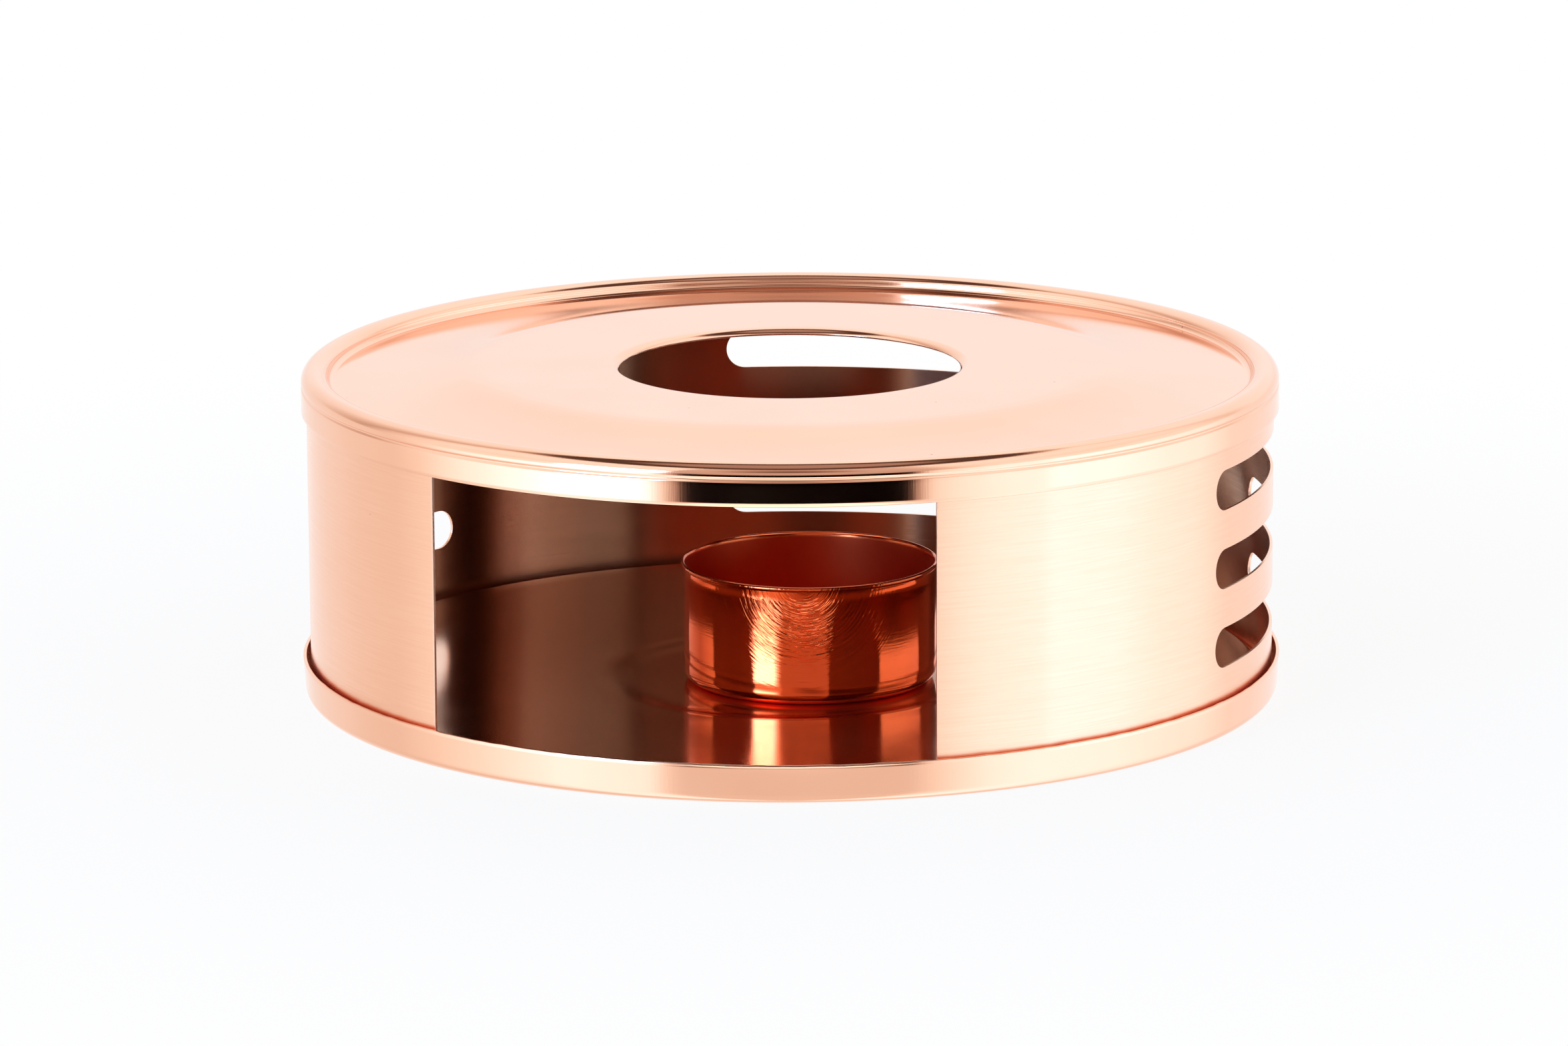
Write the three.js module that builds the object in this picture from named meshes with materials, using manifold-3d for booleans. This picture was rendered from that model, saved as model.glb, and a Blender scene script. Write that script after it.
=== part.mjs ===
// Teapot warmer pressed from copper-plated sheet steel, in millimetres.
// A shallow tray carries a loose candle cup and a hood. The hood is a slotted side band, open at the
// front as a door, with a bead-rimmed top plate pressed over it. A teapot stands on the top plate.
// The origin is on the table under the middle of the tray, +Z is up and the door faces -Y.

import * as THREE from 'three';
import { mergeVertices } from 'three/addons/utils/BufferGeometryUtils.js';
import Module from 'manifold-3d';

// Driving dimensions
const SHEET = 0.5;                 // thickness of the tray, band and top plate
const RUNNING_GAP = 0.3;           // clearance between pieces that rest on or in each other

const LID_RADIUS = 75.0;           // outside of the top plate's skirt
const RIM_TOP = 50.6;              // highest point of the top plate's bead
const RIM_WIDTH = 4.1;             // bead, from the skirt to its inner wall
const SKIRT_BOTTOM = 44.1;
const SKIRT_HEIGHT = 3.7;          // straight part of the skirt, below the bead
const NECK_DEPTH = 0.2;            // crease between skirt and bead
const NECK_HEIGHT = 0.9;
const BEAD_DROP = 1.2;             // the bead's round inner side comes down this far from its top
const PLATEAU_TOP = 50.5;          // raised middle of the plate, where the pot stands
const PLATEAU_RADIUS = 45.0;
const GROOVE_TOP = 48.5;           // lowest ring of the plate, beside the bead
const SHOULDER_RADIUS = 53.0;      // the plateau's edge bends down toward this radius
const SLOPE_RADIUS = 49.5;         // and the slope out to the groove levels off from this point
const SLOPE_TOP = 49.2;
const GROOVE_FILLET = 0.9;
const HOLE_RADIUS = 26.2;          // heat opening in the middle of the plate
const HOLE_TURN = 1.6;             // radius of its turned-down edge
const HOLE_BEND = 58;              // degrees that the edge is turned down

const BAND_RADIUS = 74.2;          // outside of the side band
const BAND_BOTTOM = 1.2;
const BAND_TOP = 47.3;
const DOOR_SPAN = 62;              // degrees of the band that are left open
const SLOT_SPAN = 44.8;            // degrees that one slot takes up
const SLOT_HEIGHT = 6.1;
const SLOT_PITCH = 12.1;
const SLOT_LOWEST = 13.7;          // middle of the lowest slot
const SLOT_ROWS = 3;
const SLOT_GROUPS = { right: 95.7, rear: 180, left: 264.3 };   // degrees from the door, turning towards +X

const TRAY_RADIUS = 75.35;         // outside of the tray's lip
const TRAY_LIP = 6.1;
const TRAY_TAPER = 0.3;            // the tray's wall leans in by this much at its foot
const TRAY_CORNER = 1.4;           // outside radius at the foot
const TRAY_FLOOR = 3.0;            // upper face of the floor at its rim
const FLOOR_DIP = 1.6;             // the floor sinks this much towards the recess
const FOOT_INNER = 73.0;           // the foot ring runs from here to the corner
const FOOT_RUN = 1.8;              // width of the step from the foot up to the floor
const RECESS_FLOOR = 0.8;          // upper face of the round recess for the cup
const RECESS_RADIUS = 27.3;
const RECESS_RUN = 8.0;            // width of the recess's sloping side

const CUP_RADIUS = 19.6;           // outside of the cup's wall, for a 38 mm tea light
const CUP_HEIGHT = 18.4;
const CUP_SHEET = 0.4;
const CUP_CORNER = 2.0;
const CUP_BEAD = 0.35;             // radius of the cup's rolled rim
const CUP_CENTRE = new THREE.Vector2(2.8, 0.7);   // the cup stands a little off the middle

const RING_STEPS = 60;             // facets round the large pieces
const CUP_STEPS = 40;
const CURVE_STEPS = 3;             // facets along each bend of a profile
const SLOT_END_STEPS = 8;          // facets round each slot end
const WELD = 1e-3;                 // vertices closer than this are one

const wasm = await Module();
wasm.setup();

// Finishes: the same copper plating, polished on the pressings and brushed on the band
function plating(color, roughness) {
  return new THREE.MeshStandardMaterial({ color, roughness, metalness: 1.0 });
}

const polishedPlating = plating(0xf2c0a4, 0.22);
const brushedPlating = plating(0xf0bda0, 0.34);
const cupPlating = plating(0xe59a78, 0.12);

/** Points along a path: a straight part keeps its ends, a bend gets CURVE_STEPS steps. */
function samplePath(path) {
  const points = [path.curves[0].getPoint(0)];
  for (const curve of path.curves) {
    const steps = curve.isLineCurve ? 1 : CURVE_STEPS;
    points.push(...curve.getPoints(steps).slice(1));
  }
  return points;
}

/** The other face of a sheet: every point moves to the left of travel, mitred so the thickness holds. */
function offsetLeft(points, thickness) {
  const leftOf = (from, to) => {
    const along = new THREE.Vector2().subVectors(to, from).normalize();
    return new THREE.Vector2(-along.y, along.x);
  };
  const last = points.length - 1;
  return points.map((point, i) => {
    const before = i > 0 ? leftOf(points[i - 1], point) : leftOf(point, points[1]);
    const after = i < last ? leftOf(point, points[i + 1]) : before;
    const mitre = thickness / (1 + before.dot(after));
    return point.clone().addScaledVector(before.add(after), mitre);
  });
}

/** Turns a profile of (radius, height) points about the Z axis. The turn starts at -Y, towards +X. */
function turned(profile, steps) {
  return new THREE.LatheGeometry(profile, steps).rotateX(Math.PI / 2);
}

function named(name, geometry, material) {
  const mesh = new THREE.Mesh(geometry, material);
  mesh.name = name;
  return mesh;
}

// Solids for the cuts in the side band
function toSolid(geometry) {
  const bare = geometry.clone();
  bare.deleteAttribute('normal');
  bare.deleteAttribute('uv');
  const merged = mergeVertices(bare, WELD);
  return new wasm.Manifold(new wasm.Mesh({
    numProp: 3,
    vertProperties: new Float32Array(merged.attributes.position.array),
    triVerts: new Uint32Array(merged.index.array),
  }));
}

function toGeometry(solid) {
  const mesh = solid.getMesh();
  const geometry = new THREE.BufferGeometry();
  geometry.setAttribute('position', new THREE.BufferAttribute(new Float32Array(mesh.vertProperties), 3));
  geometry.setIndex(new THREE.BufferAttribute(new Uint32Array(mesh.triVerts), 1));
  geometry.computeVertexNormals();
  return geometry;
}

/** Tray: recess, dished floor, a step down to the foot ring, and a low wall that leans out to the lip. */
function baseTray() {
  const recessUnder = RECESS_FLOOR - SHEET;
  const floorUnder = TRAY_FLOOR - SHEET;
  const dipUnder = floorUnder - FLOOR_DIP;
  const recessInner = RECESS_RADIUS - RECESS_RUN / 2;
  const recessOuter = RECESS_RADIUS + RECESS_RUN / 2;
  const footOuter = TRAY_RADIUS - TRAY_TAPER - TRAY_CORNER;

  const under = new THREE.Path();
  under.moveTo(0, recessUnder);
  under.lineTo(recessInner, recessUnder);
  under.bezierCurveTo(RECESS_RADIUS, recessUnder, RECESS_RADIUS, dipUnder, recessOuter, dipUnder);
  under.lineTo(FOOT_INNER - FOOT_RUN, floorUnder);
  under.bezierCurveTo(FOOT_INNER - FOOT_RUN / 2, floorUnder, FOOT_INNER - FOOT_RUN / 2, 0, FOOT_INNER, 0);
  under.lineTo(footOuter, 0);
  under.absarc(footOuter, TRAY_CORNER, TRAY_CORNER, -Math.PI / 2, 0, false);
  under.lineTo(TRAY_RADIUS, TRAY_LIP);

  const outside = samplePath(under);
  const inside = offsetLeft(outside, SHEET).reverse();
  return named('base_tray', turned([...outside, ...inside], RING_STEPS), polishedPlating);
}

/** Top plate: skirt, neck, round bead, inner wall, groove, plateau, and a hole with a turned-down edge. */
function topPlate() {
  const neck = SKIRT_BOTTOM + SKIRT_HEIGHT;
  const beadFoot = neck + NECK_HEIGHT;
  const crown = LID_RADIUS - RIM_WIDTH / 2;
  const wall = LID_RADIUS - RIM_WIDTH;
  const wallTop = RIM_TOP - BEAD_DROP;
  const grooveEnd = wall - GROOVE_FILLET;
  const bend = THREE.MathUtils.degToRad(HOLE_BEND);
  const holeTurn = HOLE_RADIUS + HOLE_TURN * Math.sin(bend);

  const face = new THREE.Path();
  face.moveTo(LID_RADIUS, SKIRT_BOTTOM);
  face.lineTo(LID_RADIUS, neck);
  face.lineTo(LID_RADIUS - NECK_DEPTH, neck + NECK_HEIGHT / 2);
  face.lineTo(LID_RADIUS, beadFoot);
  face.absellipse(crown, beadFoot, RIM_WIDTH / 2, RIM_TOP - beadFoot, 0, Math.PI / 2, false);
  face.absellipse(crown, wallTop, RIM_WIDTH / 2, RIM_TOP - wallTop, Math.PI / 2, Math.PI, false);
  face.lineTo(wall, GROOVE_TOP + GROOVE_FILLET);
  face.absarc(grooveEnd, GROOVE_TOP + GROOVE_FILLET, GROOVE_FILLET, 0, -Math.PI / 2, true);
  face.bezierCurveTo(SLOPE_RADIUS, SLOPE_TOP, SHOULDER_RADIUS, PLATEAU_TOP, PLATEAU_RADIUS, PLATEAU_TOP);
  face.lineTo(holeTurn, PLATEAU_TOP);
  face.absarc(holeTurn, PLATEAU_TOP - HOLE_TURN, HOLE_TURN, Math.PI / 2, Math.PI / 2 + bend, false);

  const outside = samplePath(face);
  const inside = offsetLeft(outside, SHEET).reverse();
  return named('top_plate', turned([...outside, ...inside, outside[0]], RING_STEPS), polishedPlating);
}

/** A wedge from the axis outwards that leaves the band open as a door. */
function doorCut() {
  const reach = 2 * BAND_RADIUS;
  const half = THREE.MathUtils.degToRad(DOOR_SPAN / 2);
  const wedge = new THREE.Shape([
    new THREE.Vector2(0, 0),
    new THREE.Vector2(-reach * Math.sin(half), -reach * Math.cos(half)),
    new THREE.Vector2(reach * Math.sin(half), -reach * Math.cos(half)),
  ]);
  return new THREE.ExtrudeGeometry(wedge, { depth: RIM_TOP, bevelEnabled: false });
}

/** A round-ended bar from inside the band out through its wall, at an angle from the door and a height. */
function slotCut(degrees, height) {
  const angle = THREE.MathUtils.degToRad(degrees);
  const chord = 2 * BAND_RADIUS * Math.sin(THREE.MathUtils.degToRad(SLOT_SPAN / 2));
  const endRadius = SLOT_HEIGHT / 2;
  const straight = chord / 2 - endRadius;
  const depth = BAND_RADIUS;

  const outline = new THREE.Shape();
  outline.absarc(straight, 0, endRadius, -Math.PI / 2, Math.PI / 2, false);
  outline.absarc(-straight, 0, endRadius, Math.PI / 2, 3 * Math.PI / 2, false);
  const settings = { depth, bevelEnabled: false, curveSegments: SLOT_END_STEPS };
  const bar = new THREE.ExtrudeGeometry(outline, settings);

  const tangent = new THREE.Vector3(Math.cos(angle), Math.sin(angle), 0);
  const up = new THREE.Vector3(0, 0, 1);
  const outward = new THREE.Vector3(Math.sin(angle), -Math.cos(angle), 0);
  const place = new THREE.Matrix4().makeBasis(tangent, up, outward);
  place.setPosition(outward.clone().multiplyScalar(BAND_RADIUS / 2).setZ(height));
  return bar.applyMatrix4(place);
}

/** Side band: a rolled strip with a door left open at the front and three groups of slots. */
function sideBand() {
  const inner = BAND_RADIUS - SHEET;
  const section = [
    new THREE.Vector2(inner, BAND_BOTTOM),
    new THREE.Vector2(BAND_RADIUS, BAND_BOTTOM),
    new THREE.Vector2(BAND_RADIUS, BAND_TOP),
    new THREE.Vector2(inner, BAND_TOP),
    new THREE.Vector2(inner, BAND_BOTTOM),
  ];
  let band = toSolid(turned(section, RING_STEPS)).subtract(toSolid(doorCut()));
  for (const degrees of Object.values(SLOT_GROUPS)) {
    for (let row = 0; row < SLOT_ROWS; row++) {
      band = band.subtract(toSolid(slotCut(degrees, SLOT_LOWEST + row * SLOT_PITCH)));
    }
  }
  return named('side_band', toGeometry(band), brushedPlating);
}

/** Candle cup: a straight drawn cup with a round bottom corner and a rolled rim, standing in the recess. */
function candleCup() {
  const inner = CUP_RADIUS - CUP_SHEET;
  const innerCorner = CUP_CORNER - CUP_SHEET;
  const beadMiddle = CUP_HEIGHT - CUP_BEAD;

  const section = new THREE.Path();
  section.moveTo(0, 0);
  section.lineTo(CUP_RADIUS - CUP_CORNER, 0);
  section.absarc(CUP_RADIUS - CUP_CORNER, CUP_CORNER, CUP_CORNER, -Math.PI / 2, 0, false);
  section.lineTo(CUP_RADIUS, beadMiddle - CUP_BEAD);
  section.absarc(CUP_RADIUS, beadMiddle, CUP_BEAD, -Math.PI / 2, Math.PI / 2, false);
  section.lineTo(inner, CUP_HEIGHT);
  section.lineTo(inner, CUP_CORNER);
  section.absarc(inner - innerCorner, CUP_CORNER, innerCorner, 0, -Math.PI / 2, true);
  section.lineTo(0, CUP_SHEET);

  const cup = named('candle_cup', turned(samplePath(section), CUP_STEPS), cupPlating);
  cup.position.set(CUP_CENTRE.x, CUP_CENTRE.y, RECESS_FLOOR + RUNNING_GAP);
  return cup;
}

const hood = new THREE.Group();
hood.add(sideBand(), topPlate());

const teapotWarmer = new THREE.Group();
teapotWarmer.add(baseTray(), hood, candleCup());

export default teapotWarmer;
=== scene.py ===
from math import pi, radians, tau

import bpy
import numpy as np
from mathutils import Matrix, Vector


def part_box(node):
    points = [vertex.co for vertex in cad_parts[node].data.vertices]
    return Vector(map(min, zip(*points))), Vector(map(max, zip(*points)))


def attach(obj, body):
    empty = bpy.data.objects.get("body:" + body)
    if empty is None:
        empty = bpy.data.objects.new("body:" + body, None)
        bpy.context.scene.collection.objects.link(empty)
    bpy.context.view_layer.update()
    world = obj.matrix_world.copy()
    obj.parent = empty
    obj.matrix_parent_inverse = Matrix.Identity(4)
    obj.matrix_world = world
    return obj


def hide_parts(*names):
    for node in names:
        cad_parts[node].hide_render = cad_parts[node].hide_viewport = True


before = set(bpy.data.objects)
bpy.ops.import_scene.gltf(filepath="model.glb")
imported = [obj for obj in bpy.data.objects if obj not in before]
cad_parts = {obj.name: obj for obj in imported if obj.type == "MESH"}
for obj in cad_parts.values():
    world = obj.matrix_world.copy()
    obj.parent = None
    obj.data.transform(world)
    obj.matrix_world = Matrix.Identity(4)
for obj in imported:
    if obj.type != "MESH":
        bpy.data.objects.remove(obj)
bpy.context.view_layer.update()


# Base tray
# A shallow round tray pressed from 0.5 mm steel sheet, copper plated and polished: a foot ring, a raised
# floor that dips to a round recess for the cup, and a low wall. The lip is sheared off and keeps small waves.
MM = 0.001
SHEET = 0.5 * MM
tray_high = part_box("base_tray")[1]
TRAY_RADIUS = tray_high.x
TRAY_LIP = tray_high.z
TRAY_TAPER = 0.3 * MM
TRAY_CORNER = 1.4 * MM
TRAY_FLOOR = 3.0 * MM
FLOOR_DIP = 1.6 * MM
FOOT_INNER = 73.0 * MM
FOOT_RUN = 1.8 * MM
RECESS_FLOOR = 0.8 * MM
RECESS_RADIUS = 27.3 * MM
RECESS_RUN = 8.0 * MM
TRAY_TURNS = 480
EDGE_CROWN = 0.45
LIP_WAVE = 0.018 * MM
LIP_WAVE_COUNTS = (17, 31, 58, 97, 139)
LIP_WAVE_REACH = 1.2 * MM
SAME_POINT = 1e-8
COPPER = ("#FAC5A8", "#F7BC9C")
PIT = "#B98468"
TRAY_GLOSS = (0.10, 0.14)
NOISE_LOW = 0.3
NOISE_HIGH = 0.7


def straight(start, end, steps=1):
    """Points on the straight line from start to end, both included."""
    return np.linspace(start, end, steps + 1)


def arc(middle, radii, start, end, steps):
    """Points of an ellipse about middle, from the angle start to the angle end, in degrees from +radius."""
    turn = np.radians(np.linspace(start, end, steps + 1))
    return np.array(middle) + np.array(radii) * np.stack([np.cos(turn), np.sin(turn)], axis=-1)


def cubic(start, first, second, end, steps):
    """A cubic curve from start to end that leaves toward the first handle and arrives from the second."""
    t = np.linspace(0.0, 1.0, steps + 1)[:, None]
    handles = 3 * t * (1 - t) ** 2 * np.array(first) + 3 * t ** 2 * (1 - t) * np.array(second)
    return (1 - t) ** 3 * np.array(start) + handles + t ** 3 * np.array(end)


def s_bend(start, end, share, steps):
    """A cubic that leaves start level and reaches end level, with handles of that share of the run."""
    reach = share * (end[0] - start[0])
    return cubic(start, (start[0] + reach, start[1]), (end[0] - reach, end[1]), end, steps)


def joined(*runs):
    """The runs end to end, without the points that repeat where two of them meet."""
    points = np.concatenate(runs)
    step = np.linalg.norm(np.diff(points, axis=0), axis=1)
    return points[np.concatenate([[True], step > SAME_POINT])]


def other_face(face):
    """The sheet's hidden face: each point moves left of travel, along the mitre of the segments that meet."""
    along = np.diff(face, axis=0)
    along /= np.linalg.norm(along, axis=1, keepdims=True)
    left = np.stack([-along[:, 1], along[:, 0]], axis=-1)
    before = np.concatenate([left[:1], left])
    after = np.concatenate([left, left[-1:]])
    spread = 1 + np.sum(before * after, axis=1, keepdims=True)
    return face + SHEET * (before + after) / spread


def cut_edge(start, end, steps=8):
    """The low half ellipse from start to end that closes a sheet's cut edge, without its ends."""
    middle = (start + end) / 2
    out = (start - end) / 2
    ahead = EDGE_CROWN * np.array([-out[1], out[0]])
    turn = np.linspace(0.0, pi, steps + 1)[1:-1, None]
    return middle + out * np.cos(turn) + ahead * np.sin(turn)


def turned(section, turns, middle=(0.0, 0.0)):
    """Carries (radius, height) points round a vertical axis: middle + radius (sin a, -cos a), height kept."""
    angle = np.linspace(0.0, tau, turns, endpoint=False)
    radius = section[:, :1]
    x = middle[0] + radius * np.sin(angle)
    y = middle[1] - radius * np.cos(angle)
    return np.stack([x, y, np.broadcast_to(section[:, 1:], x.shape)], axis=-1)


def piece(name, vertices, faces):
    """A smooth-shaded mesh object at the origin."""
    mesh = bpy.data.meshes.new(name)
    mesh.from_pydata(vertices, [], faces)
    mesh.shade_smooth()
    made = bpy.data.objects.new(name, mesh)
    bpy.context.scene.collection.objects.link(made)
    return made


def skin(name, points, closes):
    """Quads over a grid that wraps round its second axis, and round its first where it closes.
    A row that lies on the axis is one vertex with triangles round it."""
    turns = points.shape[1]
    pole = np.ptp(points, axis=1).max(axis=1) < SAME_POINT
    count = np.where(pole, 1, turns)
    index = (np.cumsum(count) - count)[:, None] + np.where(pole[:, None], 0, np.arange(turns))
    kept = ~pole[:, None] | (np.arange(turns) == 0)
    lower = index if closes else index[:-1]
    upper = np.roll(index, -1, axis=0) if closes else index[1:]
    corners = [lower, np.roll(lower, -1, axis=1), np.roll(upper, -1, axis=1), upper]
    quads = np.stack(corners, axis=-1).reshape(-1, 4)
    starts = quads[:, 0] == quads[:, 1]
    ends = quads[:, 2] == quads[:, 3]
    faces = quads[~starts & ~ends].tolist()
    faces += quads[starts][:, [0, 2, 3]].tolist()
    faces += quads[ends][:, [0, 1, 2]].tolist()
    return piece(name, points[kept], faces)


def linear(hex_colour):
    """An sRGB hex colour as linear red, green, blue and alpha."""
    srgb = np.array([int(hex_colour[i:i + 2], 16) for i in (1, 3, 5)]) / 255
    return (*np.where(srgb <= 0.04045, srgb / 12.92, ((srgb + 0.055) / 1.055) ** 2.4), 1.0)


def add(tree, kind, inputs=(), **settings):
    """Adds a node with its settings. Each input, by name or number, takes a value or a link to a socket."""
    made = tree.nodes.new(kind)
    for key, value in settings.items():
        setattr(made, key, value)
    for key, value in dict(inputs).items():
        if isinstance(value, bpy.types.NodeSocket):
            tree.links.new(value, made.inputs[key])
        else:
            made.inputs[key].default_value = value
    return made


def new_finish(name):
    """A metal with nothing on it yet: the material, its tree, its shader and the Object coordinates."""
    material = bpy.data.materials.new(name)
    material.use_nodes = True
    tree = material.node_tree
    tree.nodes.clear()
    shader = add(tree, "ShaderNodeBsdfPrincipled", {"Metallic": 1.0})
    add(tree, "ShaderNodeOutputMaterial", {"Surface": shader.outputs["BSDF"]})
    place = add(tree, "ShaderNodeTexCoord").outputs["Object"]
    return material, tree, shader, place


def clouded(tree, place, shader, tones, cloud, pit_spacing, pit):
    """Plating colour on the shader: soft clouds of the second tone, and a dark pit in the middle of a cell.
    Gives the clouds, and the tone's factor, which a finish with a grain takes over."""
    noise = add(tree, "ShaderNodeTexNoise", {"Vector": place, "Scale": 1 / cloud, "Detail": 3.0})
    clouds = noise.outputs["Fac"]
    tone = add(tree, "ShaderNodeMix", {"Factor": clouds, 6: linear(tones[0]), 7: linear(tones[1])},
               data_type="RGBA")
    cells = add(tree, "ShaderNodeTexVoronoi", {"Vector": place, "Scale": 1 / pit_spacing})
    pit_edge = pit / pit_spacing
    pits = add(tree, "ShaderNodeMapRange", {"Value": cells.outputs["Distance"], "From Min": pit_edge / 2,
               "From Max": pit_edge, "To Min": 1.0, "To Max": 0.0})
    colour = add(tree, "ShaderNodeMix", {"Factor": pits.outputs["Result"], 6: tone.outputs[2],
                 7: linear(PIT)}, data_type="RGBA")
    tree.links.new(colour.outputs[2], shader.inputs["Base Color"])
    return clouds, tone.inputs["Factor"]


def polished_copper_plate(name, gloss):
    """Bright copper plating over polished pressed steel: a mirror with a faint satin, fine lines drawn up the
    walls by the press, soft clouds and a few pits. The lines are coarser than real, to show.
    gloss is the roughness where the plating is clearest and where it is softest."""
    line_width = 0.3 * MM
    line_length = 8 * MM
    line_depth = 0.002 * MM
    material, tree, shader, place = new_finish(name)
    clouds, _ = clouded(tree, place, shader, COPPER, cloud=16 * MM, pit_spacing=7 * MM, pit=0.22 * MM)
    satin = add(tree, "ShaderNodeMapRange", {"Value": clouds, "From Min": NOISE_LOW, "From Max": NOISE_HIGH,
                "To Min": gloss[0], "To Max": gloss[1]})
    drawn = add(tree, "ShaderNodeMapping", {"Vector": place,
                "Scale": (1 / line_width, 1 / line_width, 1 / line_length)})
    lines = add(tree, "ShaderNodeTexNoise", {"Vector": drawn.outputs["Vector"], "Scale": 1.0, "Detail": 2.0})
    bump = add(tree, "ShaderNodeBump", {"Height": lines.outputs["Fac"], "Strength": 1.0,
               "Distance": line_depth})
    tree.links.new(satin.outputs["Result"], shader.inputs["Roughness"])
    tree.links.new(bump.outputs["Normal"], shader.inputs["Normal"])
    return material


recess_inner = (RECESS_RADIUS - RECESS_RUN / 2, RECESS_FLOOR - SHEET)
recess_outer = (RECESS_RADIUS + RECESS_RUN / 2, TRAY_FLOOR - FLOOR_DIP - SHEET)
floor_rim = (FOOT_INNER - FOOT_RUN, TRAY_FLOOR - SHEET)
tray_under = joined(
    straight((0.0, RECESS_FLOOR - SHEET), recess_inner, 8),
    s_bend(recess_inner, recess_outer, 1 / 2, 14),
    straight(recess_outer, floor_rim, 12),
    s_bend(floor_rim, (FOOT_INNER, 0.0), 3 / 5, 14),
    arc((TRAY_RADIUS - TRAY_TAPER - TRAY_CORNER, TRAY_CORNER), (TRAY_CORNER, TRAY_CORNER), -90, 0, 12),
    straight((TRAY_RADIUS - TRAY_TAPER, TRAY_CORNER), (TRAY_RADIUS, TRAY_LIP - SHEET / 2), 8),
)
tray_inside = other_face(tray_under)
lip_edge = cut_edge(tray_under[-1], tray_inside[-1])
tray_section = np.concatenate([tray_under, lip_edge, tray_inside[::-1]])
tray_points = turned(tray_section, TRAY_TURNS)
wave_angle = np.linspace(0.0, tau, TRAY_TURNS, endpoint=False)
wave = sum(np.sin(count * wave_angle + count ** 2) for count in LIP_WAVE_COUNTS)
near_lip = np.clip((tray_points[..., 2] - TRAY_LIP) / LIP_WAVE_REACH + 1, 0, 1) ** 2
outer_wall = tray_points[..., 0] ** 2 + tray_points[..., 1] ** 2 > (TRAY_RADIUS - 2 * SHEET) ** 2
tray_points[..., 2] += LIP_WAVE * (wave - wave.max()) * near_lip * outer_wall

base_tray = skin("tray", tray_points, closes=False)
base_tray.data.materials.append(polished_copper_plate("satin_copper_plate", TRAY_GLOSS))
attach(base_tray, "tray")
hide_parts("base_tray")


# Candle cup
# A loose cup for a tea light, deep drawn from 0.4 mm sheet with a rolled rim, copper plated, buffed bright.
# It stands in the tray's recess, a little off the middle, and its front keeps the buffing wheel's marks.
cup_low, cup_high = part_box("candle_cup")
CUP_SHEET = 0.4 * MM
CUP_BEAD = 0.35 * MM
CUP_FLARE = 0.9 * MM
CUP_CURL = 2.4 * CUP_BEAD
CUP_CORNER = 2.0 * MM
CUP_MIDDLE = ((cup_low.x + cup_high.x) / 2, (cup_low.y + cup_high.y) / 2)
CUP_RADIUS = (cup_high.x - cup_low.x) / 2 - CUP_BEAD
CUP_TURNS = 256
RED_COPPER = ("#F27A4C", "#E86A3C")
CUP_GLOSS = (0.05, 0.10)
CUP_INSIDE_SATIN = 0.32


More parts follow.
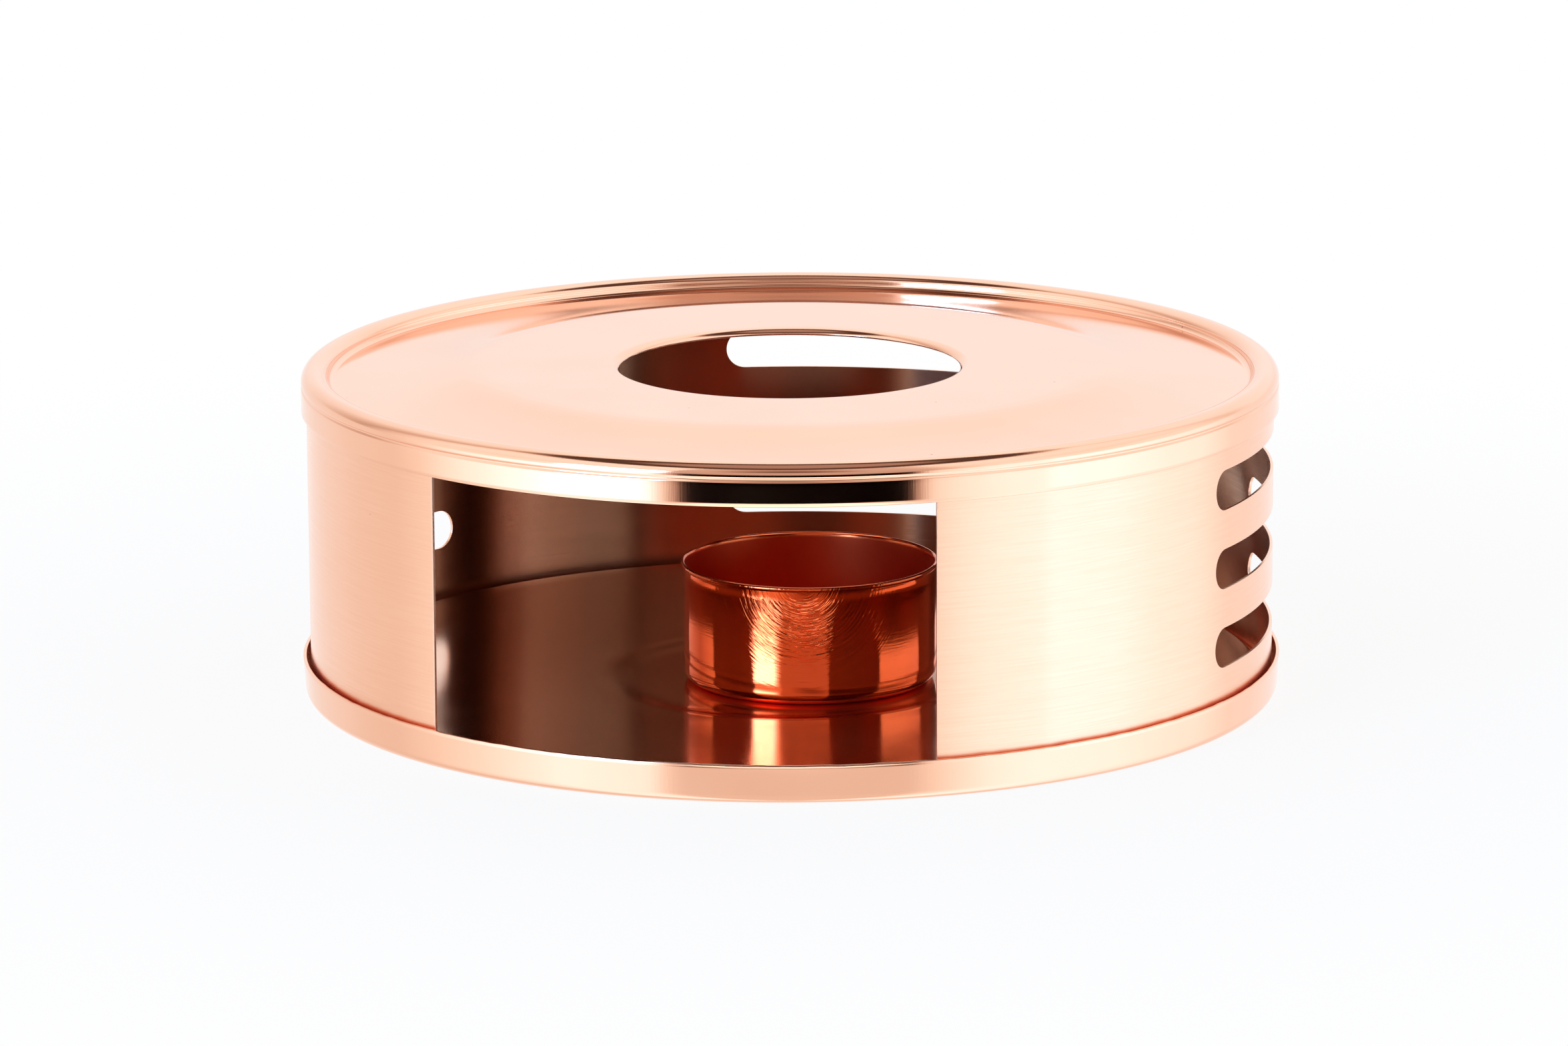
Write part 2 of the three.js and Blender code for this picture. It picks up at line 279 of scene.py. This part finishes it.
def bright_copper_plate():
    """Copper plating buffed to a mirror outside and left satin inside, so that the inside glows a deep red.
    The wheel left broken arcs on the front and short lines round the wall, both coarser than real."""
    arc_spacing = 0.36 * MM
    arc_length = 5.5 * MM
    arc_reach = 19 * MM
    arc_full = arc_reach / 2
    arc_depth = 0.07 * MM
    arc_right = 4.0 * MM
    arc_above = 1.0 * MM
    arc_middle = (CUP_MIDDLE[0] + arc_right, CUP_MIDDLE[1] - CUP_RADIUS, cup_high.z + arc_above)
    line_height = 0.35 * MM
    line_length = 5 * MM
    line_depth = 0.005 * MM
    buffed_depth = 0.7 * CUP_SHEET
    inside_edge = CUP_RADIUS - CUP_SHEET
    outside_edge = CUP_RADIUS - buffed_depth
    material, tree, shader, place = new_finish("bright_copper_plate")
    clouds, _ = clouded(tree, place, shader, RED_COPPER, cloud=9 * MM, pit_spacing=5 * MM, pit=0.15 * MM)
    satin = add(tree, "ShaderNodeMapRange", {"Value": clouds, "From Min": NOISE_LOW, "From Max": NOISE_HIGH,
                "To Min": CUP_GLOSS[0], "To Max": CUP_GLOSS[1]})
    away = add(tree, "ShaderNodeVectorMath", {0: place, 1: arc_middle}, operation="SUBTRACT")
    offset = away.outputs["Vector"]
    reach = add(tree, "ShaderNodeVectorMath", {0: offset}, operation="LENGTH").outputs["Value"]
    rounds = add(tree, "ShaderNodeMath", {0: reach, 1: arc_length / arc_spacing}, operation="MULTIPLY")
    across = add(tree, "ShaderNodeSeparateXYZ", {0: offset})
    swept = add(tree, "ShaderNodeCombineXYZ", {"X": rounds.outputs["Value"], "Y": across.outputs["X"],
                "Z": across.outputs["Z"]})
    rings = add(tree, "ShaderNodeTexNoise", {"Vector": swept.outputs["Vector"], "Scale": 1 / arc_length,
                "Detail": 2.0})
    fade = add(tree, "ShaderNodeMapRange", {"Value": reach, "From Min": arc_full, "From Max": arc_reach,
               "To Min": 1.0, "To Max": 0.0}, interpolation_type="SMOOTHSTEP")
    arcs = add(tree, "ShaderNodeMath", {0: rings.outputs["Fac"], 1: fade.outputs["Result"]},
               operation="MULTIPLY")
    spun = add(tree, "ShaderNodeMapping", {"Vector": place,
               "Scale": (1 / line_length, 1 / line_length, 1 / line_height)})
    lines = add(tree, "ShaderNodeTexNoise", {"Vector": spun.outputs["Vector"], "Scale": 1.0, "Detail": 2.0})
    fine = add(tree, "ShaderNodeBump", {"Height": lines.outputs["Fac"], "Strength": 1.0,
               "Distance": line_depth})
    bump = add(tree, "ShaderNodeBump", {"Height": arcs.outputs["Value"], "Strength": 1.0,
               "Distance": arc_depth, "Normal": fine.outputs["Normal"]})
    flat = add(tree, "ShaderNodeMapping", {"Vector": place, "Location": (-CUP_MIDDLE[0], -CUP_MIDDLE[1], 0.0),
               "Scale": (1.0, 1.0, 0.0)})
    out = add(tree, "ShaderNodeVectorMath", {0: flat.outputs["Vector"]}, operation="LENGTH").outputs["Value"]
    finish = add(tree, "ShaderNodeMapRange", {"Value": out, "From Min": inside_edge, "From Max": outside_edge,
                 "To Min": CUP_INSIDE_SATIN, "To Max": satin.outputs["Result"]})
    tree.links.new(finish.outputs["Result"], shader.inputs["Roughness"])
    tree.links.new(bump.outputs["Normal"], shader.inputs["Normal"])
    return material


cup_foot = RECESS_FLOOR
cup_rim = cup_high.z
cup_inner = CUP_RADIUS - CUP_SHEET
inner_corner = CUP_CORNER - CUP_SHEET
cup_section = joined(
    straight((0.0, cup_foot), (CUP_RADIUS - CUP_CORNER, cup_foot), 6),
    arc((CUP_RADIUS - CUP_CORNER, cup_foot + CUP_CORNER), (CUP_CORNER, CUP_CORNER), -90, 0, 14),
    straight((CUP_RADIUS, cup_foot + CUP_CORNER), (CUP_RADIUS, cup_rim - CUP_CURL), 10),
    arc((CUP_RADIUS, cup_rim - CUP_BEAD), (CUP_BEAD, CUP_BEAD), -80, 90, 16),
    arc((CUP_RADIUS, cup_rim - CUP_FLARE), (CUP_SHEET, CUP_FLARE), 90, 180, 12),
    straight((cup_inner, cup_rim - CUP_FLARE), (cup_inner, cup_foot + CUP_CORNER), 10),
    arc((cup_inner - inner_corner, cup_foot + CUP_CORNER), (inner_corner, inner_corner), 0, -90, 12),
    straight((cup_inner - inner_corner, cup_foot + CUP_SHEET), (0.0, cup_foot + CUP_SHEET), 6),
)
candle_cup = skin("cup", turned(cup_section, CUP_TURNS, CUP_MIDDLE), closes=False)
candle_cup.data.materials.append(bright_copper_plate())
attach(candle_cup, "cup")
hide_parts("candle_cup")


# Side band
# A strip of 0.5 mm sheet, punched with three groups of three round-ended slots, brushed along its length,
# copper plated and rolled to a ring that stays open at the front as the door. It is pushed up into the lid.
band_low, band_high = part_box("side_band")
BAND_RADIUS = band_high.x
DOOR_HALF = radians(62 / 2)
SLOT_SPAN = radians(44.8)
SLOT_HEIGHT = 6.1 * MM
SLOT_PITCH = 12.1 * MM
SLOT_LOWEST = 13.7 * MM
SLOT_ROWS = 3
SLOT_GROUPS = (95.7, 180.0, 264.3)
SLOT_MARGIN = 4.0 * MM
SLOT_RINGS = (0.0, 0.1, 0.25, 0.45, 0.7, 1.0)
END_STEPS = 6
FLAT_STEPS = 26
CELL_STEPS = 16
EDGE_BEVEL = 0.1 * MM
BEVEL_STEPS = 2
EDGE_TURN = radians(50)
EDGE_ROW = 0.3 * MM
PANEL_STEP = 2.0 * MM
WELD = 1e-7
# Darker inside tones: painted shade for the dim inside of the hood, used on the band's inner face and the
# lid's hidden face.
SHADED_INSIDE_COPPER = ("#AC8268", "#A4785E")
BAND_GLOSS = (0.17, 0.23)
INSIDE_GLOSS = (0.18, 0.24)
BRUSH_DEPTH = 0.002 * MM
INSIDE_BRUSH_DEPTH = 0.0012 * MM


def brushed_copper_plate(name, tones, gloss, depth):
    """Copper plating over steel brushed along the strip: sharp along the strip and smeared across it, with
    long fine lines. The lines are drawn about twice as coarse as real ones, so that they show."""
    line_height = 0.22 * MM
    line_length = 12 * MM
    streak_low = 0.35
    streak_high = 0.65
    streak_share = 0.35
    smear = 0.96
    across_strip = 0.25
    material, tree, shader, place = new_finish(name)
    clouds, toning = clouded(tree, place, shader, tones, cloud=20 * MM, pit_spacing=9 * MM, pit=0.2 * MM)
    brushed = add(tree, "ShaderNodeMapping", {"Vector": place,
                  "Scale": (1 / line_length, 1 / line_length, 1 / line_height)})
    noise = add(tree, "ShaderNodeTexNoise", {"Vector": brushed.outputs["Vector"], "Scale": 1.0, "Detail": 4.0,
                "Roughness": 0.65})
    lines = noise.outputs["Fac"]
    satin = add(tree, "ShaderNodeMapRange", {"Value": lines, "From Min": NOISE_LOW, "From Max": NOISE_HIGH,
                "To Min": gloss[0], "To Max": gloss[1]})
    bump = add(tree, "ShaderNodeBump", {"Height": lines, "Strength": 1.0, "Distance": depth})
    streaks = add(tree, "ShaderNodeMapRange", {"Value": lines, "From Min": streak_low,
                  "From Max": streak_high})
    grain = add(tree, "ShaderNodeMix", {"Factor": streak_share, 2: clouds, 3: streaks.outputs["Result"]})
    tree.links.new(grain.outputs[0], toning)
    round_the_axis = add(tree, "ShaderNodeVectorMath", {0: (0.0, 0.0, 1.0), 1: place},
                         operation="CROSS_PRODUCT")
    shader.inputs["Anisotropic"].default_value = smear
    shader.inputs["Anisotropic Rotation"].default_value = across_strip
    tree.links.new(satin.outputs["Result"], shader.inputs["Roughness"])
    tree.links.new(bump.outputs["Normal"], shader.inputs["Normal"])
    tree.links.new(round_the_axis.outputs["Vector"], shader.inputs["Tangent"])
    return material


def sheet_grid(along, up):
    """A flat grid of (along, up) points, and its quads, turning left."""
    points = np.stack(np.meshgrid(along, up), axis=-1)
    index = np.arange(points.shape[0] * points.shape[1]).reshape(points.shape[:2])
    quads = np.stack([index[:-1, :-1], index[:-1, 1:], index[1:, 1:], index[1:, :-1]], axis=-1)
    return points.reshape(-1, 2), quads.reshape(-1, 4)


def slot_ring(along, up, flat_half, end_radius):
    """The sheet round one slot: rings from the slot's outline out to the border of its cell.
    Each outline point is the one nearest to its border point, on a bar with round ends."""
    border = np.concatenate([
        np.stack([along, np.full_like(along, up[0])], axis=-1)[:-1],
        np.stack([np.full_like(up, along[-1]), up], axis=-1)[:-1],
        np.stack([along[::-1], np.full_like(along, up[-1])], axis=-1)[:-1],
        np.stack([np.full_like(up, along[0]), up[::-1]], axis=-1)[:-1],
    ])
    spine = np.stack([np.clip(border[:, 0], -flat_half, flat_half), np.zeros(len(border))], axis=-1)
    away = border - spine
    outline = spine + end_radius * away / np.linalg.norm(away, axis=1, keepdims=True)
    share = np.array(SLOT_RINGS)[:, None, None]
    points = outline + share * (border - outline)
    index = np.arange(points.shape[0] * points.shape[1]).reshape(points.shape[:2])
    after = np.roll(index, -1, axis=1)
    quads = np.stack([index[:-1], index[1:], after[1:], after[:-1]], axis=-1)
    return points.reshape(-1, 2), quads.reshape(-1, 4)


slot_half = BAND_RADIUS * SLOT_SPAN / 2
flat_half = slot_half - SLOT_HEIGHT / 2
cell_half = slot_half + SLOT_MARGIN
cell_along = np.concatenate([
    np.linspace(-cell_half, -flat_half, END_STEPS + 1),
    np.linspace(-flat_half, flat_half, FLAT_STEPS + 1)[1:-1],
    np.linspace(flat_half, cell_half, END_STEPS + 1),
])
cell_up = np.linspace(-SLOT_PITCH / 2, SLOT_PITCH / 2, CELL_STEPS + 1)
slot_heights = SLOT_LOWEST + SLOT_PITCH * np.arange(SLOT_ROWS)
cells_low = slot_heights[0] - SLOT_PITCH / 2
cells_high = slot_heights[-1] + SLOT_PITCH / 2
foot_rows = np.concatenate([[band_low.z], np.linspace(band_low.z + EDGE_ROW, cells_low, 4)])
head_rows = np.concatenate([np.linspace(cells_high, band_high.z - EDGE_ROW, 3), [band_high.z]])
cell_rows = np.concatenate([height + cell_up for height in slot_heights])
all_rows = np.unique(np.round(np.concatenate([foot_rows, cell_rows, head_rows]) / WELD)) * WELD
slot_middles = BAND_RADIUS * np.radians(SLOT_GROUPS)
door_edges = BAND_RADIUS * np.array([DOOR_HALF, tau - DOOR_HALF])
panel_starts = np.concatenate([door_edges[:1], slot_middles + cell_half])
panel_ends = np.concatenate([slot_middles - cell_half, door_edges[1:]])

flat_parts = []
for start, end in zip(panel_starts, panel_ends):
    columns = np.linspace(start, end, round((end - start) / PANEL_STEP) + 1)
    if start == door_edges[0]:
        columns = np.insert(columns, 1, start + EDGE_ROW)
    if end == door_edges[1]:
        columns = np.insert(columns, -1, end - EDGE_ROW)
    flat_parts.append(sheet_grid(columns, all_rows))
for middle in slot_middles:
    flat_parts.append(sheet_grid(middle + cell_along, foot_rows))
    flat_parts.append(sheet_grid(middle + cell_along, head_rows))
    for height in slot_heights:
        ring, ring_quads = slot_ring(cell_along, cell_up, flat_half, SLOT_HEIGHT / 2)
        flat_parts.append((ring + (middle, height), ring_quads))
part_starts = np.cumsum([0] + [len(points) for points, _ in flat_parts[:-1]])
flat_points = np.concatenate([points for points, _ in flat_parts])
flat_quads = np.concatenate([quads + start for (_, quads), start in zip(flat_parts, part_starts)])
welded, weld_index = np.unique(np.round(flat_points / WELD), axis=0, return_inverse=True)
rolled = welded * WELD
roll_angle = rolled[:, 0] / BAND_RADIUS
ring_x = BAND_RADIUS * np.sin(roll_angle)
ring_y = -BAND_RADIUS * np.cos(roll_angle)
band_points = np.stack([ring_x, ring_y, rolled[:, 1]], axis=-1)

side_band = piece("band", band_points, weld_index.reshape(-1)[flat_quads].tolist())
thickness = side_band.modifiers.new("sheet", "SOLIDIFY")
thickness.thickness = SHEET
thickness.offset = -1.0
thickness.material_offset = 1
edges = side_band.modifiers.new("dulled_edges", "BEVEL")
edges.width = EDGE_BEVEL
edges.segments = BEVEL_STEPS
edges.limit_method = "ANGLE"
edges.angle_limit = EDGE_TURN
edges.harden_normals = True
outside_plate = brushed_copper_plate("brushed_copper_plate", COPPER, BAND_GLOSS, BRUSH_DEPTH)
# The same brushed plating in the darker inside tones, as painted shade inside the hood.
inside_plate = brushed_copper_plate("shaded_inside_plate", SHADED_INSIDE_COPPER, INSIDE_GLOSS, INSIDE_BRUSH_DEPTH)
side_band.data.materials.append(outside_plate)
side_band.data.materials.append(inside_plate)
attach(side_band, "hood")
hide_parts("side_band")


# Top plate
# A lid pressed from 0.5 mm sheet, copper plated and polished: a skirt over the band, a crease, a round bead,
# a sunk groove, a slope up to a level middle for the pot, and a heat hole whose edge is turned down.
lid_low, lid_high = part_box("top_plate")
LID_RADIUS = lid_high.x
RIM_TOP = lid_high.z
SKIRT_BOTTOM = lid_low.z
SKIRT_HEIGHT = 3.7 * MM
NECK_DEPTH = 0.2 * MM
NECK_HEIGHT = 0.9 * MM
NECK_STEPS = 16
RIM_WIDTH = 4.1 * MM
BEAD_DROP = 1.2 * MM
GROOVE_TOP = 48.5 * MM
GROOVE_FILLET = 0.9 * MM
PLATEAU_TOP = 50.5 * MM
PLATEAU_RADIUS = 45.0 * MM
SHOULDER_RADIUS = 53.0 * MM
SLOPE_RADIUS = 49.5 * MM
SLOPE_TOP = 49.2 * MM
HOLE_RADIUS = 26.2 * MM
HOLE_TURN = 1.6 * MM
HOLE_BEND = 58
LID_TURNS = 360
LID_GLOSS = (0.07, 0.10)

neck_low = SKIRT_BOTTOM + SKIRT_HEIGHT
bead_foot = neck_low + NECK_HEIGHT
crown = LID_RADIUS - RIM_WIDTH / 2
rim_wall = LID_RADIUS - RIM_WIDTH
wall_top = RIM_TOP - BEAD_DROP
hole_turn = HOLE_RADIUS + HOLE_TURN * np.sin(radians(HOLE_BEND))
neck_share = np.linspace(0.0, 1.0, NECK_STEPS + 1)
neck = np.stack([LID_RADIUS - NECK_DEPTH * np.sin(pi * neck_share) ** 2, neck_low + NECK_HEIGHT * neck_share],
                axis=-1)
lid_face = joined(
    straight((LID_RADIUS, SKIRT_BOTTOM + SHEET / 2), (LID_RADIUS, neck_low), 6),
    neck,
    arc((crown, bead_foot), (RIM_WIDTH / 2, RIM_TOP - bead_foot), 0, 90, 20),
    arc((crown, wall_top), (RIM_WIDTH / 2, BEAD_DROP), 90, 180, 16),
    arc((rim_wall - GROOVE_FILLET, GROOVE_TOP + GROOVE_FILLET), (GROOVE_FILLET, GROOVE_FILLET), 0, -90, 10),
    cubic((rim_wall - GROOVE_FILLET, GROOVE_TOP), (SLOPE_RADIUS, SLOPE_TOP), (SHOULDER_RADIUS, PLATEAU_TOP),
          (PLATEAU_RADIUS, PLATEAU_TOP), 40),
    straight((PLATEAU_RADIUS, PLATEAU_TOP), (hole_turn, PLATEAU_TOP), 8),
    arc((hole_turn, PLATEAU_TOP - HOLE_TURN), (HOLE_TURN, HOLE_TURN), 90, 90 + HOLE_BEND, 12),
)
lid_hidden = other_face(lid_face)
hole_edge = cut_edge(lid_face[-1], lid_hidden[-1])
skirt_edge = cut_edge(lid_hidden[0], lid_face[0])
lid_section = np.concatenate([lid_face, hole_edge, lid_hidden[::-1], skirt_edge])
first_hidden = len(lid_face) + len(hole_edge)
is_hidden = np.zeros((len(lid_section), LID_TURNS), dtype=np.int32)
is_hidden[first_hidden:first_hidden + len(lid_hidden) - 1] = 1
top_plate = skin("lid", turned(lid_section, LID_TURNS), closes=True)
top_plate.data.materials.append(polished_copper_plate("polished_copper_plate", LID_GLOSS))
# The lid's hidden face takes the inside plating, darkened as painted shade.
top_plate.data.materials.append(inside_plate)
top_plate.data.polygons.foreach_set("material_index", is_hidden.ravel())
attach(top_plate, "hood")
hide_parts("top_plate")


# Camera
# A long lens, as in the photograph: 1.2 m away, a little above the plate and to the right of the door.
IMAGE_WIDTH = 2351
FOCAL_PIXELS = 11661
SENSOR = 36.0
CAMERA_DISTANCE = 1200 * MM
CAMERA_AZIMUTH = 14.45
CAMERA_ELEVATION = 12.63
CAMERA_ROLL = -0.295
AIM_HEIGHT = 22.5 * MM
AIM_RIGHT = -1.04 * MM
AIM_UP = 2.63 * MM

away = Matrix.Rotation(radians(CAMERA_AZIMUTH), 3, "Z") @ Vector((0.0, 1.0, 0.0))
level = Vector((away.y, -away.x, 0.0))
ahead = Matrix.Rotation(radians(-CAMERA_ELEVATION), 3, level) @ away
roll = Matrix.Rotation(radians(-CAMERA_ROLL), 3, ahead)
right = roll @ level
up = roll @ level.cross(ahead)
eye = Vector((0.0, 0.0, AIM_HEIGHT)) + AIM_RIGHT * right + AIM_UP * up - CAMERA_DISTANCE * ahead
lens = bpy.data.cameras.new("camera")
lens.sensor_width = SENSOR
lens.sensor_fit = "HORIZONTAL"
lens.lens = FOCAL_PIXELS / IMAGE_WIDTH * SENSOR
camera = bpy.data.objects.new("camera", lens)
camera.matrix_world = Matrix.Translation(eye) @ Matrix((right, up, -ahead)).transposed().to_4x4()
bpy.context.scene.collection.objects.link(camera)
bpy.context.scene.camera = camera


# Studio
# A white table that runs into a pale room, with soft lights at the sides and a strip light beside the camera.
# Behind the camera and overhead the room is dark, which gives the metal its dark lines and its dark inside.
# A bright sheet lies on the table in front, where only the metal shows it.
FLOOR_HALF = 4000 * MM
SHADOW_NEAR = 100 * MM
SHADOW_FAR = 300 * MM
SHADOW_SHARE = 0.12
TABLE_WHITE = 0.9
SHEET_MIDDLE = 155 * MM
SHEET_NEAR = 40 * MM
SHEET_FAR = 70 * MM
SHEET_LIGHT = 2.0
# Light round the room by degrees from the camera, rightward: off the table, on the walls, and at lamp height
ROOM_LIGHT = {-180: (1.0, 1.0, 1.15), -150: (1.0, 1.0, 1.0), -135: (0.95, 1.0, 0.75), -120: (0.85, 0.95, 0.5),
              -106: (0.9, 0.95, 1.0), -96: (1.05, 1.13, 1.2), -80: (1.35, 1.85, 1.3), -64: (1.75, 2.5, 1.4),
              -56: (2.0, 2.9, 1.4), -51: (1.95, 2.85, 24.0), -34: (1.8, 2.7, 24.0), -29: (1.0, 0.9, 0.5),
              -25: (0.88, 0.001, 0.5), 28: (0.88, 0.001, 0.5), 33: (1.15, 1.3, 0.6), 40: (1.5, 1.7, 1.0),
              48: (1.9, 1.9, 1.3), 61: (2.1, 2.1, 1.4), 64: (2.1, 2.45, 1.4), 82: (1.95, 2.35, 1.4),
              97: (1.7, 1.95, 1.4), 112: (1.5, 1.7, 1.3), 126: (1.1, 1.2, 0.9), 140: (1.0, 1.1, 1.25),
              180: (1.0, 1.0, 1.15)}
ROOM_LIGHT_MOST = 24.0
TABLE_EDGE = radians(-18)
LAMP_EDGE = radians(8)
LAMP_TOP = radians(24)
UPPER_LIGHT = 1.15
GAIN_LOW = radians(15)
GAIN_HIGH = radians(45)
HIGH_GAIN = 1.2
CEILING_FRONT = radians(28)
CEILING_REAR = radians(58)
CEILING_TURN = (0.93, 0.5)
CEILING_LIGHT = 0.055
TOP_LIGHT = 0.3
TOP_LOW = radians(69)
TOP_HIGH = radians(77)
WARMTH = {"Red": 1.9, "Green": 1.2}
WARMTH_END = 6.0
EDGE_SOFT = radians(4)
MIRROR_BOUNCES = 12

floor_corners = [(x * FLOOR_HALF, y * FLOOR_HALF, 0.0) for x, y in ((-1, -1), (1, -1), (1, 1), (-1, 1))]
floor = piece("floor", floor_corners, [(0, 1, 2, 3)])
table_top = bpy.data.materials.new("white_table")
table_top.use_nodes = True
tree = table_top.node_tree
tree.nodes.clear()
spot = add(tree, "ShaderNodeTexCoord").outputs["Object"]
distance = add(tree, "ShaderNodeVectorMath", {0: spot}, operation="LENGTH").outputs["Value"]
bare = add(tree, "ShaderNodeMapRange", {"Value": distance, "From Min": SHADOW_NEAR, "From Max": SHADOW_FAR,
           "To Min": 1 - SHADOW_SHARE, "To Max": 1.0}, interpolation_type="SMOOTHSTEP")
seen = add(tree, "ShaderNodeLightPath").outputs["Is Camera Ray"]
white_share = add(tree, "ShaderNodeMath", {0: bare.outputs["Result"], 1: seen}, operation="MULTIPLY")
lit = add(tree, "ShaderNodeBsdfDiffuse", {"Color": (TABLE_WHITE, TABLE_WHITE, TABLE_WHITE, 1.0)})
white = add(tree, "ShaderNodeEmission", {"Color": (1.0, 1.0, 1.0, 1.0), "Strength": 1.0})
table_mix = add(tree, "ShaderNodeMixShader", {0: white_share.outputs["Value"], 1: lit.outputs["BSDF"],
                2: white.outputs["Emission"]})
toward_camera = Vector((-away.x, -away.y, 0.0)) * SHEET_MIDDLE
aside = add(tree, "ShaderNodeVectorMath", {0: spot, 1: toward_camera}, operation="DISTANCE").outputs["Value"]
on_sheet = add(tree, "ShaderNodeMapRange", {"Value": aside, "From Min": SHEET_NEAR, "From Max": SHEET_FAR,
               "To Min": 1.0, "To Max": 0.0}, interpolation_type="SMOOTHSTEP")
beyond = add(tree, "ShaderNodeBsdfTransparent")
bright = add(tree, "ShaderNodeEmission", {"Strength": SHEET_LIGHT})
mirrored = add(tree, "ShaderNodeMixShader", {0: on_sheet.outputs["Result"], 1: beyond.outputs["BSDF"],
               2: bright.outputs["Emission"]})
glossy = add(tree, "ShaderNodeLightPath").outputs["Is Glossy Ray"]
table = add(tree, "ShaderNodeMixShader", {0: glossy, 1: table_mix.outputs["Shader"],
            2: mirrored.outputs["Shader"]})
add(tree, "ShaderNodeOutputMaterial", {"Surface": table.outputs["Shader"]})
floor.data.materials.append(table_top)

room = bpy.data.worlds.new("white_room")
room.use_nodes = True
bpy.context.scene.world = room
tree = room.node_tree
tree.nodes.clear()
direction = add(tree, "ShaderNodeTexCoord").outputs["Generated"]
faced = add(tree, "ShaderNodeVectorRotate", {"Vector": direction, "Angle": radians(-CAMERA_AZIMUTH)},
            rotation_type="Z_AXIS")
axes = add(tree, "ShaderNodeSeparateXYZ", {0: faced.outputs["Vector"]})
nearer = add(tree, "ShaderNodeMath", {0: axes.outputs["Y"], 1: -1.0}, operation="MULTIPLY").outputs["Value"]
azimuth = add(tree, "ShaderNodeMath", {0: axes.outputs["X"], 1: nearer}, operation="ARCTAN2").outputs["Value"]
height = add(tree, "ShaderNodeMath", {0: axes.outputs["Z"]}, operation="ARCSINE").outputs["Value"]
round_share = add(tree, "ShaderNodeMapRange", {"Value": azimuth, "From Min": -pi, "From Max": pi})
lights = add(tree, "ShaderNodeValToRGB", {"Fac": round_share.outputs["Result"]})
ramp = lights.color_ramp.elements
for angle, strengths in ROOM_LIGHT.items():
    position = angle / 360 + 0.5
    stop = {-180: ramp[0], 180: ramp[-1]}.get(angle) or ramp.new(position)
    stop.position = position
    stop.color = (*(strength / ROOM_LIGHT_MOST for strength in strengths), 1.0)
bands = add(tree, "ShaderNodeSeparateColor", {0: lights.outputs["Color"]})
above_table = add(tree, "ShaderNodeMapRange", {"Value": height, "From Min": TABLE_EDGE - EDGE_SOFT / 2,
                  "From Max": TABLE_EDGE + EDGE_SOFT / 2}, interpolation_type="SMOOTHSTEP").outputs["Result"]
above_walls = add(tree, "ShaderNodeMapRange", {"Value": height, "From Min": LAMP_EDGE - EDGE_SOFT,
                  "From Max": LAMP_EDGE + EDGE_SOFT}, interpolation_type="SMOOTHSTEP").outputs["Result"]
low_part = add(tree, "ShaderNodeMix", {"Factor": above_table, 2: bands.outputs[0], 3: bands.outputs[1]})
lamp_part = add(tree, "ShaderNodeMix", {"Factor": above_walls, 2: low_part.outputs[0],
                3: bands.outputs[2]}).outputs[0]
above_lamps = add(tree, "ShaderNodeMapRange", {"Value": height, "From Min": LAMP_TOP - EDGE_SOFT,
                  "From Max": LAMP_TOP + EDGE_SOFT}, interpolation_type="SMOOTHSTEP").outputs["Result"]
upper = add(tree, "ShaderNodeMath", {0: lamp_part, 1: UPPER_LIGHT / ROOM_LIGHT_MOST}, operation="MINIMUM")
room_part = add(tree, "ShaderNodeMix", {"Factor": above_lamps, 2: lamp_part,
                3: upper.outputs["Value"]}).outputs[0]
gain = add(tree, "ShaderNodeMapRange", {"Value": height, "From Min": GAIN_LOW, "From Max": GAIN_HIGH,
           "To Min": ROOM_LIGHT_MOST, "To Max": HIGH_GAIN * ROOM_LIGHT_MOST}, interpolation_type="SMOOTHSTEP")
room_light = add(tree, "ShaderNodeMath", {0: room_part, 1: gain.outputs["Result"]},
                 operation="MULTIPLY").outputs["Value"]
ceiling = add(tree, "ShaderNodeMapRange", {"Value": nearer, "From Min": CEILING_TURN[0],
              "From Max": CEILING_TURN[1], "To Min": CEILING_FRONT, "To Max": CEILING_REAR},
              interpolation_type="SMOOTHSTEP")
over = add(tree, "ShaderNodeMath", {0: height, 1: ceiling.outputs["Result"]},
           operation="SUBTRACT").outputs["Value"]
dark = add(tree, "ShaderNodeMapRange", {"Value": over, "From Min": -EDGE_SOFT, "From Max": EDGE_SOFT},
           interpolation_type="SMOOTHSTEP").outputs["Result"]
overhead = add(tree, "ShaderNodeMapRange", {"Value": height, "From Min": TOP_LOW, "From Max": TOP_HIGH,
               "To Min": CEILING_LIGHT, "To Max": TOP_LIGHT}, interpolation_type="SMOOTHSTEP")
studio = add(tree, "ShaderNodeMix", {"Factor": dark, 2: room_light, 3: overhead.outputs["Result"]}).outputs[0]
seen = add(tree, "ShaderNodeLightPath").outputs["Is Camera Ray"]
strength = add(tree, "ShaderNodeMix", {"Factor": seen, 2: studio, 3: 1.0}).outputs[0]
colour = add(tree, "ShaderNodeCombineColor", {"Blue": strength})
# Dim light is warm and strong light cool: strength * warmth / (1 + (warmth - 1) * strength), white at 1
cooling = add(tree, "ShaderNodeMath", {0: strength, 1: WARMTH_END}, operation="MINIMUM").outputs["Value"]
for channel, warmth in WARMTH.items():
    dim = add(tree, "ShaderNodeMath", {0: strength, 1: warmth}, operation="MULTIPLY").outputs["Value"]
    held = add(tree, "ShaderNodeMath", {0: cooling, 1: warmth - 1, 2: 1.0}, operation="MULTIPLY_ADD")
    share = add(tree, "ShaderNodeMath", {0: dim, 1: held.outputs["Value"]}, operation="DIVIDE")
    tree.links.new(share.outputs["Value"], colour.inputs[channel])
background = add(tree, "ShaderNodeBackground", {"Color": colour.outputs["Color"], "Strength": 1.0})
add(tree, "ShaderNodeOutputWorld", {"Surface": background.outputs["Background"]})
bpy.context.scene.view_settings.view_transform = "Standard"
bpy.context.scene.cycles.glossy_bounces = MIRROR_BOUNCES
